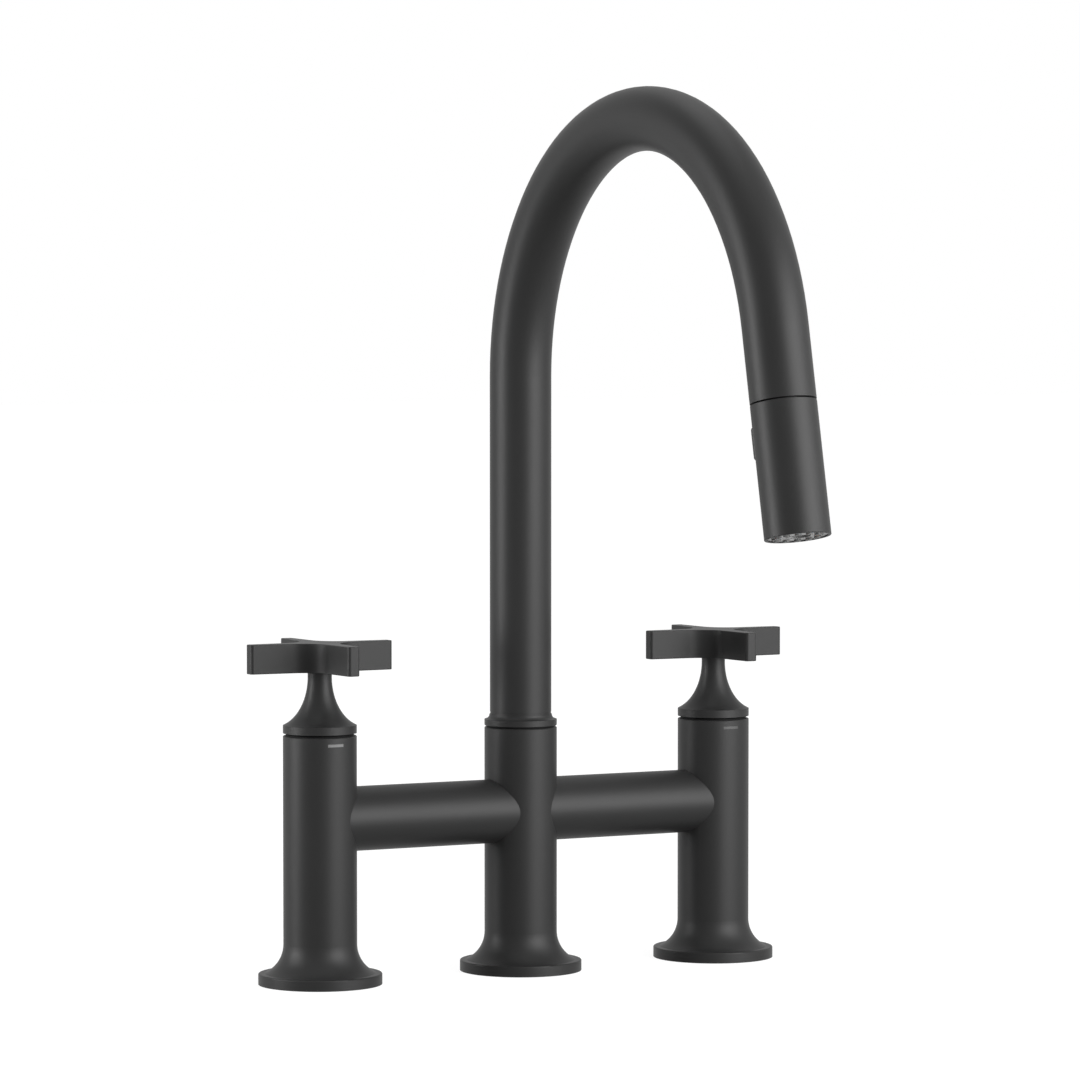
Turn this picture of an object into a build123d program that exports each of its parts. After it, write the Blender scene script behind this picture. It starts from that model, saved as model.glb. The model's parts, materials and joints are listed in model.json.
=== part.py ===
from build123d import *

import os
from math import cos, radians, sin, sqrt

# A bridge kitchen faucet: three columns on one bridge, a cross handle on each outer column, and a
# gooseneck spout on the middle one that swivels and holds a spray head on a hose.
# Millimetres, +Z up. X runs along the bridge, the cold side is +X and the spout reaches towards -Y.
# The origin is the middle of the centre column's foot, on the deck.

# ---------------------------------------------------------------- columns, feet and bridge
handle_pitch = 203.2  # between the two handle axes, eight inches
column_step = 2.5  # a column stands out this far beyond the spout's tube
column_height = 111.2
column_wall = 4.7  # round a valve
foot_overhang = 11.25
foot_thickness = 4.9
foot_edge = 0.6
flare_radius = 14.3  # concave sweep of a column into its foot
flare_turn = 65.4  # degrees of that sweep
bridge_drop = 38.0  # from the columns' tops down to the bridge's axis
bridge_radius = 14.5
bridge_wall = 2.0

# ---------------------------------------------------------------- cross handles
cross_reach = 35.0
cross_height = 13.1
cross_underside = 28.5  # above the column
arm_tip_width = 5.6
arm_root_width = 8.5  # where the sides of two arms would meet
arm_fillet = 12.0
arm_corner = 1.4
neck_radius = 5.4
neck_rim_height = 3.6
neck_rim_lip = 0.13  # the sweep starts this far inside the rim
neck_sweep_axial = 22.4  # upright half axis of the elliptical sweep from the rim to the stem
neck_sweep_turn = 73.3  # degrees of that ellipse
handle_travel = 90.0  # a quarter turn opens a valve

# ---------------------------------------------------------------- spout
spout_radius = 14.0
spout_wall = 1.2
spout_rise = 270.7  # height where the bend starts
spout_bend_radius = 113.0
spout_bend_angle = 168.0
spout_leg = 32.2  # straight tube after the bend, up to the middle of the seam
collar_height = 5.1
collar_sweep = 2.2
spigot_land = 3.05  # from the mixing chamber up to the spigot
spigot_wall = 3.25

# ---------------------------------------------------------------- spray head
head_length = 56.9
head_wall = 1.4
button_width = 16.2
button_length = 14.4
button_start = 7.5  # from the seam to the button
plunger_lead = 2.05  # the plunger pushes below the button's middle
button_proud = 1.2  # flat face beyond the head's side
button_travel = 1.6
nozzle_count = 12

# ---------------------------------------------------------------- hose
hose_radius = 5.0
hose_bore = 3.3
hose_end_below_deck = 78.0

# ---------------------------------------------------------------- under the deck
deck_thickness = 20.0
shank_drop = 60.0
supply_shank_radius = 10.478  # half-inch pipe thread, at its crest
supply_shank_bore = 7.0
supply_shank_socket = 18.0
centre_shank_step = 0.5  # the shank's radius is smaller than the column's
centre_shank_wall = 2.2
centre_shank_socket = 11.0
washer_thickness = 2.0
nut_thickness = 8.0
supply_nut_flats = 30.0
centre_nut_flats = 42.0
outlet_pipe_radius = 3.175  # quarter-inch tube

# ---------------------------------------------------------------- valves
valve_depth = 21.2  # from the bridge's axis down to a valve's floor
cartridge_step = 1.8  # seal's room between a cartridge and its bore
cartridge_wall = 1.5
disc_thickness = 4.0
seal_height = 6.0
seal_ledge = 2.0
stem_foot_height = 4.0
stop_clearance = 1.8
stop_height = 3.0
shoulder_height = 2.0
stem_radius = 4.5
drive_radius = 3.0
window_height = 8.0

# ---------------------------------------------------------------- named clearances
running_gap = 0.05  # shaft in its bore
moving_gap = 0.3  # faces of parts that move past each other
assembly_gap = 0.05  # fixed parts pushed or screwed together
seam_gap = 0.7  # shadow line between the centre column and the collar
handle_gap = 1.2  # shadow line between an outer column and its handle
head_gap = 0.3  # half the shadow line between spout and spray head
edge_break = 0.3  # small chamfer on visible edges
hexagon = 6

# ---------------------------------------------------------------- derived places
half_pitch = handle_pitch / 2
bridge_height = column_height - bridge_drop
column_radius = spout_radius + column_step
foot_radius = column_radius + foot_overhang
flare_height = foot_thickness + flare_radius * sin(radians(flare_turn))
flare_foot_radius = column_radius + flare_radius * (1 - cos(radians(flare_turn)))
bridge_bore = bridge_radius - bridge_wall
spout_bore = spout_radius - spout_wall
collar_bottom = column_height + seam_gap
handle_bottom = column_height + handle_gap
cross_bottom = column_height + cross_underside
neck_rim_top = handle_bottom + neck_rim_height
centre_shank_radius = column_radius - centre_shank_step
centre_shank_bore = centre_shank_radius - centre_shank_wall

valve_bore = column_radius - column_wall
cartridge_radius = valve_bore - cartridge_step
cartridge_cavity = cartridge_radius - cartridge_wall
valve_floor = bridge_height - valve_depth
cartridge_bottom = valve_floor + seal_height
fixed_disc_bottom = cartridge_bottom + seal_ledge
moving_disc_bottom = fixed_disc_bottom + disc_thickness + running_gap
stem_foot_bottom = moving_disc_bottom + disc_thickness + running_gap
window_bottom = bridge_height - window_height / 2
stop_bottom = window_bottom + window_height + stop_clearance
cavity_top = stop_bottom + stop_height + shoulder_height + moving_gap
cartridge_thread_length = 13.0
cartridge_thread_bottom = column_height - cartridge_thread_length
cartridge_flange = 0.7
cartridge_top = column_height + cartridge_flange

left = Plane(origin=(-half_pitch, 0, 0))
centre = Plane.XY
right = Plane(origin=(half_pitch, 0, 0))
sides = (("left", left, 1), ("right", right, -1))

bend_end = (
    0,
    -spout_bend_radius * (1 - cos(radians(spout_bend_angle))),
    spout_rise + spout_bend_radius * sin(radians(spout_bend_angle)),
)
leg_way = Vector(0, -sin(radians(spout_bend_angle)), cos(radians(spout_bend_angle)))
seam = Vector(*bend_end) + leg_way * spout_leg
# along the head: its own Z runs down the head and its own -Y is the back, where the button is
head = Plane(origin=seam, x_dir=(1, 0, 0), z_dir=leg_way)
head_axis = Axis(seam, leg_way)
head_profile = Plane(origin=seam, x_dir=(1, 0, 0), z_dir=(0, -leg_way.Z, leg_way.Y))

os.makedirs("parts", exist_ok=True)


def save(builder, name):
    builder.part.label = name
    export_step(builder.part, f"parts/{name}.step")


def upright(place):
    """The plane through an axis on which turned profiles are drawn: radius across, height up."""
    return Plane(origin=place.origin, x_dir=(1, 0, 0), z_dir=(0, -1, 0))


def turned(plane, axis, *points):
    """Adds a turned solid whose profile is the polygon through the points, as (radius, height)."""
    with BuildSketch(plane) as profile:
        with BuildLine():
            Polyline(*points, close=True)
        make_face()
    revolve(profile.sketch, axis=axis)


def turned_ring(plane, axis, mean_radius, height, section_radius):
    """Adds a ring of round section, such as an O-ring."""
    with BuildSketch(plane) as section:
        with Locations((mean_radius, height)):
            Circle(section_radius)
    revolve(section.sketch, axis=axis)


def tube(plane, outer, inner, length):
    """Adds a plain tube that starts on the plane."""
    with BuildSketch(plane) as section:
        Circle(outer)
        Circle(inner, mode=Mode.SUBTRACT)
    extrude(section.sketch, amount=length)


def axis_of(place):
    return Axis(place.origin, (0, 0, 1))


# ---------------------------------------------------------------- columns
gasket_groove_inner = 20.0
gasket_groove_outer = 25.0
gasket_groove_depth = 1.2


def column_body(place):
    """Adds a column with its flared foot and the gasket's groove under it."""
    with BuildSketch(upright(place)) as profile:
        with BuildLine():
            Line((0, 0), (foot_radius, 0))
            Line((foot_radius, 0), (foot_radius, foot_thickness - foot_edge))
            RadiusArc(
                (foot_radius, foot_thickness - foot_edge),
                (foot_radius - foot_edge, foot_thickness),
                -foot_edge,
            )
            Line((foot_radius - foot_edge, foot_thickness), (flare_foot_radius, foot_thickness))
            RadiusArc(
                (flare_foot_radius, foot_thickness), (column_radius, flare_height), flare_radius
            )
            Line((column_radius, flare_height), (column_radius, column_height - edge_break))
            Line(
                (column_radius, column_height - edge_break),
                (column_radius - edge_break, column_height),
            )
            Line((column_radius - edge_break, column_height), (0, column_height))
            Line((0, column_height), (0, 0))
        make_face()
    revolve(profile.sketch, axis=axis_of(place))
    with BuildSketch(place) as groove:
        Circle(gasket_groove_outer)
        Circle(gasket_groove_inner, mode=Mode.SUBTRACT)
    extrude(groove.sketch, amount=gasket_groove_depth, mode=Mode.SUBTRACT)


def round_cut(plane, radius, depth):
    """Cuts a round hole that starts on the plane and follows its normal."""
    with BuildSketch(plane) as hole:
        Circle(radius)
    extrude(hole.sketch, amount=depth, mode=Mode.SUBTRACT)


nipple_step = 3.0
nipple_wall = 2.5
nipple_inset = 0.7  # a nipple's inner end stays this far outside a valve's bore
nipple_collar = 0.5
nipple_length = 10.0  # of the part inside the bridge tube
nipple_spigot = bridge_bore - nipple_step
nipple_bore = nipple_spigot - nipple_wall
nipple_inner_end = valve_bore + nipple_inset
nipple_shoulder = column_radius + nipple_collar
mark_width = 7.6
mark_height = 1.2
mark_drop = 3.4
mark_centre = column_height - mark_drop
mark_depth = 0.3


def mark_shell(place, gap):
    """Adds the thin curved plate of an index mark, wider by the gap on every side."""
    with BuildSketch(place.offset(mark_centre - mark_height / 2 - gap)) as band:
        Circle(column_radius)
        Circle(column_radius - mark_depth, mode=Mode.SUBTRACT)
        with Locations((0, -column_radius)):
            Rectangle(mark_width + 2 * gap, column_radius, mode=Mode.INTERSECT)
    extrude(band.sketch, amount=mark_height + 2 * gap)


mark_gap = 0.02

for side, place, inward in sides:
    with BuildPart() as index_mark:
        mark_shell(place, 0)
    save(index_mark, f"{side}_index_mark")

    with BuildPart() as mark_pocket:
        mark_shell(place, mark_gap)

    with BuildPart() as column:
        column_body(place)
        round_cut(place, supply_shank_radius + assembly_gap, supply_shank_socket)
        round_cut(place, supply_shank_bore, valve_floor)
        round_cut(place.offset(valve_floor), valve_bore, column_height - valve_floor)
        side_port = Plane(
            origin=place.origin + (0, 0, bridge_height), x_dir=(0, 1, 0), z_dir=(inward, 0, 0)
        )
        round_cut(side_port, nipple_spigot + assembly_gap, column_radius)
        add(mark_pocket, mode=Mode.SUBTRACT)
    save(column, f"{side}_column")

hose_play = 0.8
spigot_step = 0.2  # the spigot's lower part is this much smaller than the tube's bore
chamber_web = 1.6
chamber_growth = 0.8  # the mixing chamber is this much wider than the spout's spigot
chamber_half_height = 11.0
outlet_wall = 1.225
outlet_overrun = 0.5
lock_rise = 10.75  # from the spigot's end up to the lock screw
lock_screw_radius = 2.5
lock_tip_radius = 1.6
hose_passage = hose_radius + hose_play
spigot_radius = spout_bore - spigot_step
chamber_inner = hose_passage + chamber_web
chamber_outer = spigot_radius + chamber_growth
chamber_bottom = bridge_height - chamber_half_height
outlet_offset = hose_passage + outlet_wall + outlet_pipe_radius
chamber_top = bridge_height + chamber_half_height
spigot_bottom = chamber_top + spigot_land
lock_height = spigot_bottom + lock_rise

with BuildPart() as centre_column:
    column_body(centre)
    round_cut(centre, centre_shank_radius + assembly_gap, centre_shank_socket)
    round_cut(centre, hose_passage, column_height)
    with BuildSketch(centre.offset(chamber_bottom)):
        Circle(chamber_outer)
        Circle(chamber_inner, mode=Mode.SUBTRACT)
    extrude(amount=2 * chamber_half_height, mode=Mode.SUBTRACT)
    with BuildSketch(centre):
        with Locations((0, outlet_offset)):
            Circle(outlet_pipe_radius + assembly_gap)
    extrude(amount=chamber_bottom + outlet_overrun, mode=Mode.SUBTRACT)
    round_cut(
        centre.offset(spigot_bottom - moving_gap),
        spigot_radius,
        column_height - spigot_bottom + moving_gap,
    )
    for way in (-1, 1):
        with BuildSketch(
            Plane(
                origin=(way * (chamber_outer - nipple_step), 0, bridge_height),
                x_dir=(0, 1, 0),
                z_dir=(way, 0, 0),
            )
        ):
            Circle(nipple_spigot + assembly_gap)
        extrude(amount=column_radius, mode=Mode.SUBTRACT)
    lock_plane = Plane(origin=(0, 0, lock_height), x_dir=(1, 0, 0), z_dir=(0, 1, 0))
    with BuildSketch(lock_plane.offset(spigot_radius - lock_screw_radius)):
        Circle(lock_screw_radius + assembly_gap)
    extrude(amount=column_radius, mode=Mode.SUBTRACT)
save(centre_column, "centre_column")

# ---------------------------------------------------------------- bridge
for side, place, inward in sides:
    bridge_middle = Plane(origin=(0, 0, bridge_height), x_dir=(0, 1, 0), z_dir=(-inward, 0, 0))
    with BuildPart() as bridge_tube:
        with BuildSketch(bridge_middle):
            Circle(bridge_radius)
            Circle(bridge_bore, mode=Mode.SUBTRACT)
        extrude(amount=half_pitch)
        for end in (centre, place):
            round_cut(end, column_radius, column_height)
    save(bridge_tube, f"{side}_bridge_tube")

with BuildPart() as bridge_nipples:
    for _, place, inward in sides:
        for end, way in ((place, inward), (centre, -inward)):
            port = Plane(
                origin=end.origin + (0, 0, bridge_height), x_dir=(0, 1, 0), z_dir=(way, 0, 0)
            )
            tube(
                port.offset(nipple_inner_end),
                nipple_spigot,
                nipple_bore,
                nipple_shoulder - nipple_inner_end,
            )
            tube(
                port.offset(nipple_shoulder), bridge_bore - assembly_gap, nipple_bore, nipple_length
            )
save(bridge_nipples, "bridge_nipples")

# ---------------------------------------------------------------- shanks and the deck's clamping
thread_relief = 1.0
relief_height = 2.0
coupling_thread = 24.0  # thread left free for a supply hose
shank_chamfer = 0.5
thread_run_out = 0.2  # a shank stops short of its socket's end
washer_play = 0.3
rubber_rim = 11.0
steel_rim = 10.0
gasket_recess = 0.1

with BuildPart() as supply_shanks:
    for _, place, _ in sides:
        relief_bottom = coupling_thread - shank_drop
        turned(
            upright(place),
            axis_of(place),
            (supply_shank_bore, -shank_drop),
            (supply_shank_radius - shank_chamfer, -shank_drop),
            (supply_shank_radius, shank_chamfer - shank_drop),
            (supply_shank_radius, relief_bottom),
            (supply_shank_radius - thread_relief, relief_bottom),
            (supply_shank_radius - thread_relief, relief_bottom + relief_height),
            (supply_shank_radius, relief_bottom + relief_height),
            (supply_shank_radius, supply_shank_socket - thread_run_out),
            (supply_shank_bore, supply_shank_socket - thread_run_out),
        )
save(supply_shanks, "supply_shanks")

with BuildPart() as centre_shank:
    tube(
        centre.offset(-shank_drop),
        centre_shank_radius,
        centre_shank_bore,
        shank_drop + centre_shank_socket - thread_run_out,
    )
save(centre_shank, "centre_shank")

with BuildPart() as foot_gaskets:
    for place in (left, centre, right):
        tube(
            place,
            gasket_groove_outer - assembly_gap,
            gasket_groove_inner + assembly_gap,
            gasket_groove_depth - gasket_recess,
        )
save(foot_gaskets, "foot_gaskets")

rubber_washer_top = -deck_thickness
steel_washer_top = rubber_washer_top - washer_thickness
nut_top = steel_washer_top - washer_thickness
clamps = (
    ("supply", (left, right), supply_shank_radius, supply_nut_flats),
    ("centre", (centre,), centre_shank_radius, centre_nut_flats),
)

for name, places, shank_radius, flats in clamps:
    with BuildPart() as rubber_washer:
        for place in places:
            tube(
                place.offset(rubber_washer_top - washer_thickness),
                shank_radius + rubber_rim,
                shank_radius + washer_play,
                washer_thickness,
            )
    save(rubber_washer, f"{name}_rubber_washer")

    with BuildPart() as steel_washer:
        for place in places:
            tube(
                place.offset(steel_washer_top - washer_thickness),
                shank_radius + steel_rim,
                shank_radius + washer_play,
                washer_thickness,
            )
    save(steel_washer, f"{name}_steel_washer")

    with BuildPart() as lock_nut:
        for place in places:
            with BuildSketch(place.offset(nut_top - nut_thickness)):
                RegularPolygon(flats / 2, hexagon, major_radius=False)
                Circle(shank_radius + assembly_gap, mode=Mode.SUBTRACT)
            extrude(amount=nut_thickness)
    save(lock_nut, f"{name}_lock_nut")

# ---------------------------------------------------------------- mixed water's outlet and hose bush
outlet_pipe_end = 80.0
outlet_pipe_bore = 2.2
outlet_groove_top = 64.0
outlet_groove_height = 2.0
outlet_groove_depth = 0.4
outlet_socket = 8.0

with BuildPart() as mixed_outlet_pipe:
    pipe_place = Plane(origin=(0, outlet_offset, 0))
    turned(
        upright(pipe_place),
        axis_of(pipe_place),
        (outlet_pipe_bore, -outlet_pipe_end),
        (outlet_pipe_radius, -outlet_pipe_end),
        (outlet_pipe_radius, -outlet_groove_top - outlet_groove_height),
        (
            outlet_pipe_radius - outlet_groove_depth,
            -outlet_groove_top - outlet_groove_height,
        ),
        (outlet_pipe_radius - outlet_groove_depth, -outlet_groove_top),
        (outlet_pipe_radius, -outlet_groove_top),
        (outlet_pipe_radius, chamber_bottom - outlet_socket),
        (outlet_pipe_bore, chamber_bottom - outlet_socket),
    )
save(mixed_outlet_pipe, "mixed_outlet_pipe")

bush_flange = 1.8
bush_insert = 6.0
bush_rim = 0.5
bush_hose_play = 0.6

with BuildPart() as hose_guide_bush:
    with BuildSketch(centre.offset(-shank_drop - bush_flange)):
        Circle(centre_shank_radius - bush_rim)
    extrude(amount=bush_flange)
    with BuildSketch(centre.offset(-shank_drop)):
        Circle(centre_shank_bore - assembly_gap)
    extrude(amount=bush_insert)
    with BuildSketch(centre.offset(-shank_drop - bush_flange)):
        Circle(hose_radius + bush_hose_play)
        with Locations((0, outlet_offset)):
            Circle(outlet_pipe_radius + assembly_gap)
    extrude(amount=bush_flange + bush_insert, mode=Mode.SUBTRACT)
save(hose_guide_bush, "hose_guide_bush")

# ---------------------------------------------------------------- valve cartridges
stop_tab_angle = 60.0
stop_play = 1.5  # degrees left at each end of the travel
stop_gap = 0.5
disc_edge = 0.2
port_rim = 1.3
port_angle = 76.0
port_inner = 2.6
flange_step = 1.3
oring_section = 0.55
oring_groove = 3.4
oring_squeeze = 0.01
oring_drop = 4.2
oring_spacing = 3.6
groove_width = 1.4
spindle_headroom = 5.0
tongue_height = 1.4
tongue_side = 2.5  # the tongue ends this far inside the moving disc
tongue_width = 2.8
tongue_play = 0.1
tongue_web = 1.0  # ceramic left on each side of the tongue's slot
foot_width = 6.0
flat_length = 14.0
flat_depth = 0.5
seal_bore = 6.6
seal_rim = 1.0
stem_bore = stem_radius + running_gap
stop_outer = cartridge_cavity - stop_gap
disc_radius = cartridge_cavity - disc_edge
port_outer = cartridge_cavity - port_rim
flange_radius = column_radius - flange_step
spindle_top = cross_bottom - spindle_headroom
stem_bottom = stem_foot_bottom + stem_foot_height
first_groove = cartridge_top - oring_drop
second_groove = first_groove - oring_spacing
tongue_length = 2 * (disc_radius - tongue_side)


def sector(radius, start, size):
    """Adds a pie slice of the given angle, starting at the given bearing in degrees."""
    with BuildLine() as slice_edge:
        rim = CenterArc((0, 0), radius, start, size)
        Line((0, 0), rim @ 0)
        Line((0, 0), rim @ 1)
    make_face(slice_edge.edges())


for side, place, turn in sides:
    # the handle opens by a positive turn on the left and by a negative turn on the right
    tab_start = -90 - stop_tab_angle / 2
    free_start = tab_start - stop_play - (0 if turn > 0 else handle_travel)
    free_size = stop_tab_angle + handle_travel + 2 * stop_play

    with BuildPart() as cartridge_housing:
        turned(
            upright(place),
            axis_of(place),
            (cartridge_cavity, cartridge_bottom),
            (cartridge_radius, cartridge_bottom),
            (cartridge_radius, cartridge_thread_bottom),
            (valve_bore - assembly_gap, cartridge_thread_bottom),
            (valve_bore - assembly_gap, column_height),
            (flange_radius, column_height),
            (flange_radius, cartridge_top),
            (stem_bore, cartridge_top),
            (stem_bore, cavity_top),
            (cartridge_cavity, cavity_top),
        )
        with BuildSketch(place.offset(window_bottom)):
            for bearing in (0, 90):
                Rectangle(3 * cartridge_radius, window_height, rotation=bearing)
            Circle(cartridge_cavity - stop_gap, mode=Mode.SUBTRACT)
        extrude(amount=window_height, mode=Mode.SUBTRACT)
        with BuildSketch(place.offset(stop_bottom)):
            sector(cartridge_cavity + stop_gap, free_start + free_size, 360 - free_size)
            Circle(stem_radius + moving_gap, mode=Mode.SUBTRACT)
        extrude(amount=stop_height)
    save(cartridge_housing, f"{side}_cartridge_housing")

    with BuildPart() as valve_spindle:
        with BuildSketch(place.offset(stem_foot_bottom)):
            Rectangle(2 * stop_outer - moving_gap, foot_width)
        extrude(amount=stem_foot_height)
        with BuildSketch(place.offset(stem_foot_bottom)):
            Rectangle(tongue_length, tongue_width)
        extrude(amount=-tongue_height)
        turned(
            upright(place),
            axis_of(place),
            (0, stem_bottom),
            (stem_radius, stem_bottom),
            (stem_radius, stop_bottom + stop_height),
            (stop_outer, stop_bottom + stop_height),
            (stop_outer, stop_bottom + stop_height + shoulder_height),
            (stem_radius, stop_bottom + stop_height + shoulder_height),
            (stem_radius, second_groove),
            (oring_groove, second_groove),
            (oring_groove, second_groove + groove_width),
            (stem_radius, second_groove + groove_width),
            (stem_radius, first_groove),
            (oring_groove, first_groove),
            (oring_groove, first_groove + groove_width),
            (stem_radius, first_groove + groove_width),
            (stem_radius, cartridge_top),
            (drive_radius, cartridge_top),
            (drive_radius, spindle_top),
            (0, spindle_top),
        )
        with BuildSketch(place.offset(stop_bottom)):
            sector(stop_outer, tab_start, stop_tab_angle)
        extrude(amount=stop_height)
        with BuildSketch(place.offset(spindle_top - flat_length)):
            with Locations((0, 2 * drive_radius - flat_depth)):
                Rectangle(2 * drive_radius, 2 * drive_radius)
        extrude(amount=flat_length, mode=Mode.SUBTRACT)
    save(valve_spindle, f"{side}_valve_spindle")

    with BuildPart() as stem_o_rings:
        for groove in (first_groove, second_groove):
            turned_ring(
                upright(place),
                axis_of(place),
                oring_groove + oring_section + oring_squeeze,
                groove + groove_width / 2,
                oring_section,
            )
    save(stem_o_rings, f"{side}_stem_o_rings")

    with BuildPart() as moving_disc:
        with BuildSketch(place.offset(moving_disc_bottom)):
            Circle(disc_radius)
        extrude(amount=disc_thickness)
        with BuildSketch(place.offset(moving_disc_bottom)):
            for bearing in (90, 270):
                sector(port_outer, bearing - port_angle / 2, port_angle)
            Rectangle(2 * port_outer, tongue_width + 2 * tongue_web, mode=Mode.SUBTRACT)
        extrude(amount=disc_thickness, mode=Mode.SUBTRACT)
        with BuildSketch(place.offset(moving_disc_bottom + disc_thickness)):
            Rectangle(tongue_length + 2 * tongue_play, tongue_width + 2 * tongue_play)
        extrude(amount=-tongue_height - tongue_play, mode=Mode.SUBTRACT)
    save(moving_disc, f"{side}_moving_disc")

with BuildPart() as fixed_discs:
    for _, place, _ in sides:
        with BuildSketch(place.offset(fixed_disc_bottom)):
            Circle(cartridge_cavity - assembly_gap)
        extrude(amount=disc_thickness)
        with BuildSketch(place.offset(fixed_disc_bottom)):
            for bearing in (0, 180):
                sector(port_outer, bearing - port_angle / 2, port_angle)
            Circle(port_inner, mode=Mode.SUBTRACT)
        extrude(amount=disc_thickness, mode=Mode.SUBTRACT)
save(fixed_discs, "fixed_ceramic_discs")

with BuildPart() as seat_seals:
    for _, place, _ in sides:
        turned(
            upright(place),
            axis_of(place),
            (seal_bore, valve_floor),
            (valve_bore - seal_rim, valve_floor),
            (valve_bore - seal_rim, cartridge_bottom),
            (cartridge_cavity - assembly_gap, cartridge_bottom),
            (cartridge_cavity - assembly_gap, fixed_disc_bottom),
            (seal_bore, fixed_disc_bottom),
        )
save(seat_seals, "seat_seals")

with BuildPart() as cartridge_o_rings:
    for _, place, _ in sides:
        ring_section = cartridge_step / 2 - 2 * oring_squeeze
        turned_ring(
            upright(place),
            axis_of(place),
            (valve_bore + cartridge_radius) / 2,
            cartridge_thread_bottom - ring_section - oring_squeeze,
            ring_section,
        )
save(cartridge_o_rings, "cartridge_o_rings")

# ---------------------------------------------------------------- handles
neck_spigot = 4.2
neck_spigot_length = 8.0
neck_shell = 2.2
neck_rim_slope = 0.1
hollow_edge = 1.4
hollow_height = 7.0
hollow_core = 1.0  # wall between the hollow and the spindle
screw_rise = 11.4
screw_radius = 2.0
screw_reach = 1.0  # the screw's socket face beyond the stem of the neck
socket_radius = 1.0
socket_depth = 1.6
screw_tip_gap = 0.05
cross_edge = 0.4
spigot_end_gap = 0.2
sweep_base = column_radius - neck_rim_lip
sweep_top = neck_rim_top + neck_sweep_axial * sin(radians(neck_sweep_turn))
neck_sweep_radial = (sweep_base - neck_radius) / (1 - cos(radians(neck_sweep_turn)))
screw_height = neck_rim_top + screw_rise
hollow_inner = stem_radius + hollow_core

for side, place, _ in sides:
    with BuildPart() as handle_neck:
        with BuildSketch(upright(place)):
            with BuildLine():
                Line((drive_radius + running_gap, handle_bottom), (column_radius, handle_bottom))
                Line(
                    (column_radius, handle_bottom), (column_radius, neck_rim_top - neck_rim_slope)
                )
                Line(
                    (column_radius, neck_rim_top - neck_rim_slope), (sweep_base, neck_rim_top)
                )
                EllipticalCenterArc(
                    (neck_radius + neck_sweep_radial, sweep_top),
                    neck_sweep_radial,
                    neck_sweep_axial,
                    start_angle=180,
                    arc_size=neck_sweep_turn,
                )
                Line((neck_radius, sweep_top), (neck_radius, cross_bottom))
                Line((neck_radius, cross_bottom), (neck_spigot, cross_bottom))
                Line(
                    (neck_spigot, cross_bottom), (neck_spigot, cross_bottom + neck_spigot_length)
                )
                Line(
                    (neck_spigot, cross_bottom + neck_spigot_length),
                    (0, cross_bottom + neck_spigot_length),
                )
                Line(
                    (0, cross_bottom + neck_spigot_length), (0, spindle_top + moving_gap)
                )
                Line(
                    (0, spindle_top + moving_gap),
                    (drive_radius + running_gap, spindle_top + moving_gap),
                )
                Line(
                    (drive_radius + running_gap, spindle_top + moving_gap),
                    (drive_radius + running_gap, handle_bottom),
                )
            make_face()
        revolve(axis=axis_of(place))
        with BuildSketch(upright(place)):
            with BuildLine():
                Polyline(
                    (hollow_inner, handle_bottom),
                    (column_radius - neck_shell, handle_bottom),
                    (column_radius - neck_shell, handle_bottom + hollow_edge),
                    (hollow_inner, handle_bottom + hollow_height),
                    close=True,
                )
            make_face()
        revolve(axis=axis_of(place), mode=Mode.SUBTRACT)
        with BuildSketch(
            Plane(origin=place.origin + (0, 0, screw_height), x_dir=(1, 0, 0), z_dir=(0, 1, 0))
        ):
            Circle(screw_radius + assembly_gap)
        extrude(amount=column_radius, mode=Mode.SUBTRACT)
    save(handle_neck, f"{side}_handle_neck")

    with BuildPart() as handle_screw:
        screw_plane = Plane(
            origin=place.origin + (0, drive_radius - flat_depth + screw_tip_gap, screw_height),
            x_dir=(1, 0, 0),
            z_dir=(0, 1, 0),
        )
        with BuildSketch(screw_plane):
            Circle(screw_radius)
        screw_length = neck_radius + screw_reach - drive_radius
        extrude(amount=screw_length)
        with BuildSketch(screw_plane.offset(screw_length)):
            RegularPolygon(socket_radius, hexagon)
        extrude(amount=-socket_depth, mode=Mode.SUBTRACT)
    save(handle_screw, f"{side}_handle_screw")

    with BuildPart() as handle_cross:
        with BuildSketch(place.offset(cross_bottom)) as outline:
            with BuildLine():
                tip = arm_tip_width / 2
                root = arm_root_width / 2
                corners = []
                for bearing in (0, 90, 180, 270):
                    for x, y in ((cross_reach, -tip), (cross_reach, tip), (root, root)):
                        corners.append(Vector(x, y).rotate(Axis.Z, bearing))
                Polyline(*corners, close=True)
            make_face()
            fillet(outline.vertices().sort_by_distance((0, 0, 0))[:4], arm_fillet)
            fillet(outline.vertices().sort_by_distance((0, 0, 0))[-8:], arm_corner)
        extrude(amount=cross_height)
        rims = handle_cross.faces().filter_by(Axis.Z).edges()
        fillet(rims, cross_edge)
        round_cut(
            place.offset(cross_bottom),
            neck_spigot + assembly_gap,
            neck_spigot_length + spigot_end_gap,
        )
    save(handle_cross, f"{side}_handle_cross")

# ---------------------------------------------------------------- spout base
spigot_fit = spigot_radius - running_gap
lock_groove_depth = 1.4
lock_groove_half = 2.0
tube_ledge = 1.0
glide_play = 0.1
glide_inset = 1.0
spigot_insert = 18.0  # length inside the spout's tube
spigot_ring_section = 0.9
spigot_ring_play = 0.02
spigot_ring_rise = 3.4
spigot_ring_spacing = 4.6
lock_screw_recess = 0.6
lock_socket_radius = 1.45
lock_socket_depth = 2.0
lip_width = 0.25
sweep_lip = 0.15
spigot_bore = spigot_fit - spigot_wall
tube_seat = collar_bottom + tube_ledge
spigot_top = tube_seat + spigot_insert
spigot_groove_depth = 2 * spigot_ring_section - running_gap + 2 * spigot_ring_play
lower_ring_height = spigot_bottom + spigot_ring_rise
upper_ring_height = lower_ring_height + spigot_ring_spacing

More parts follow.
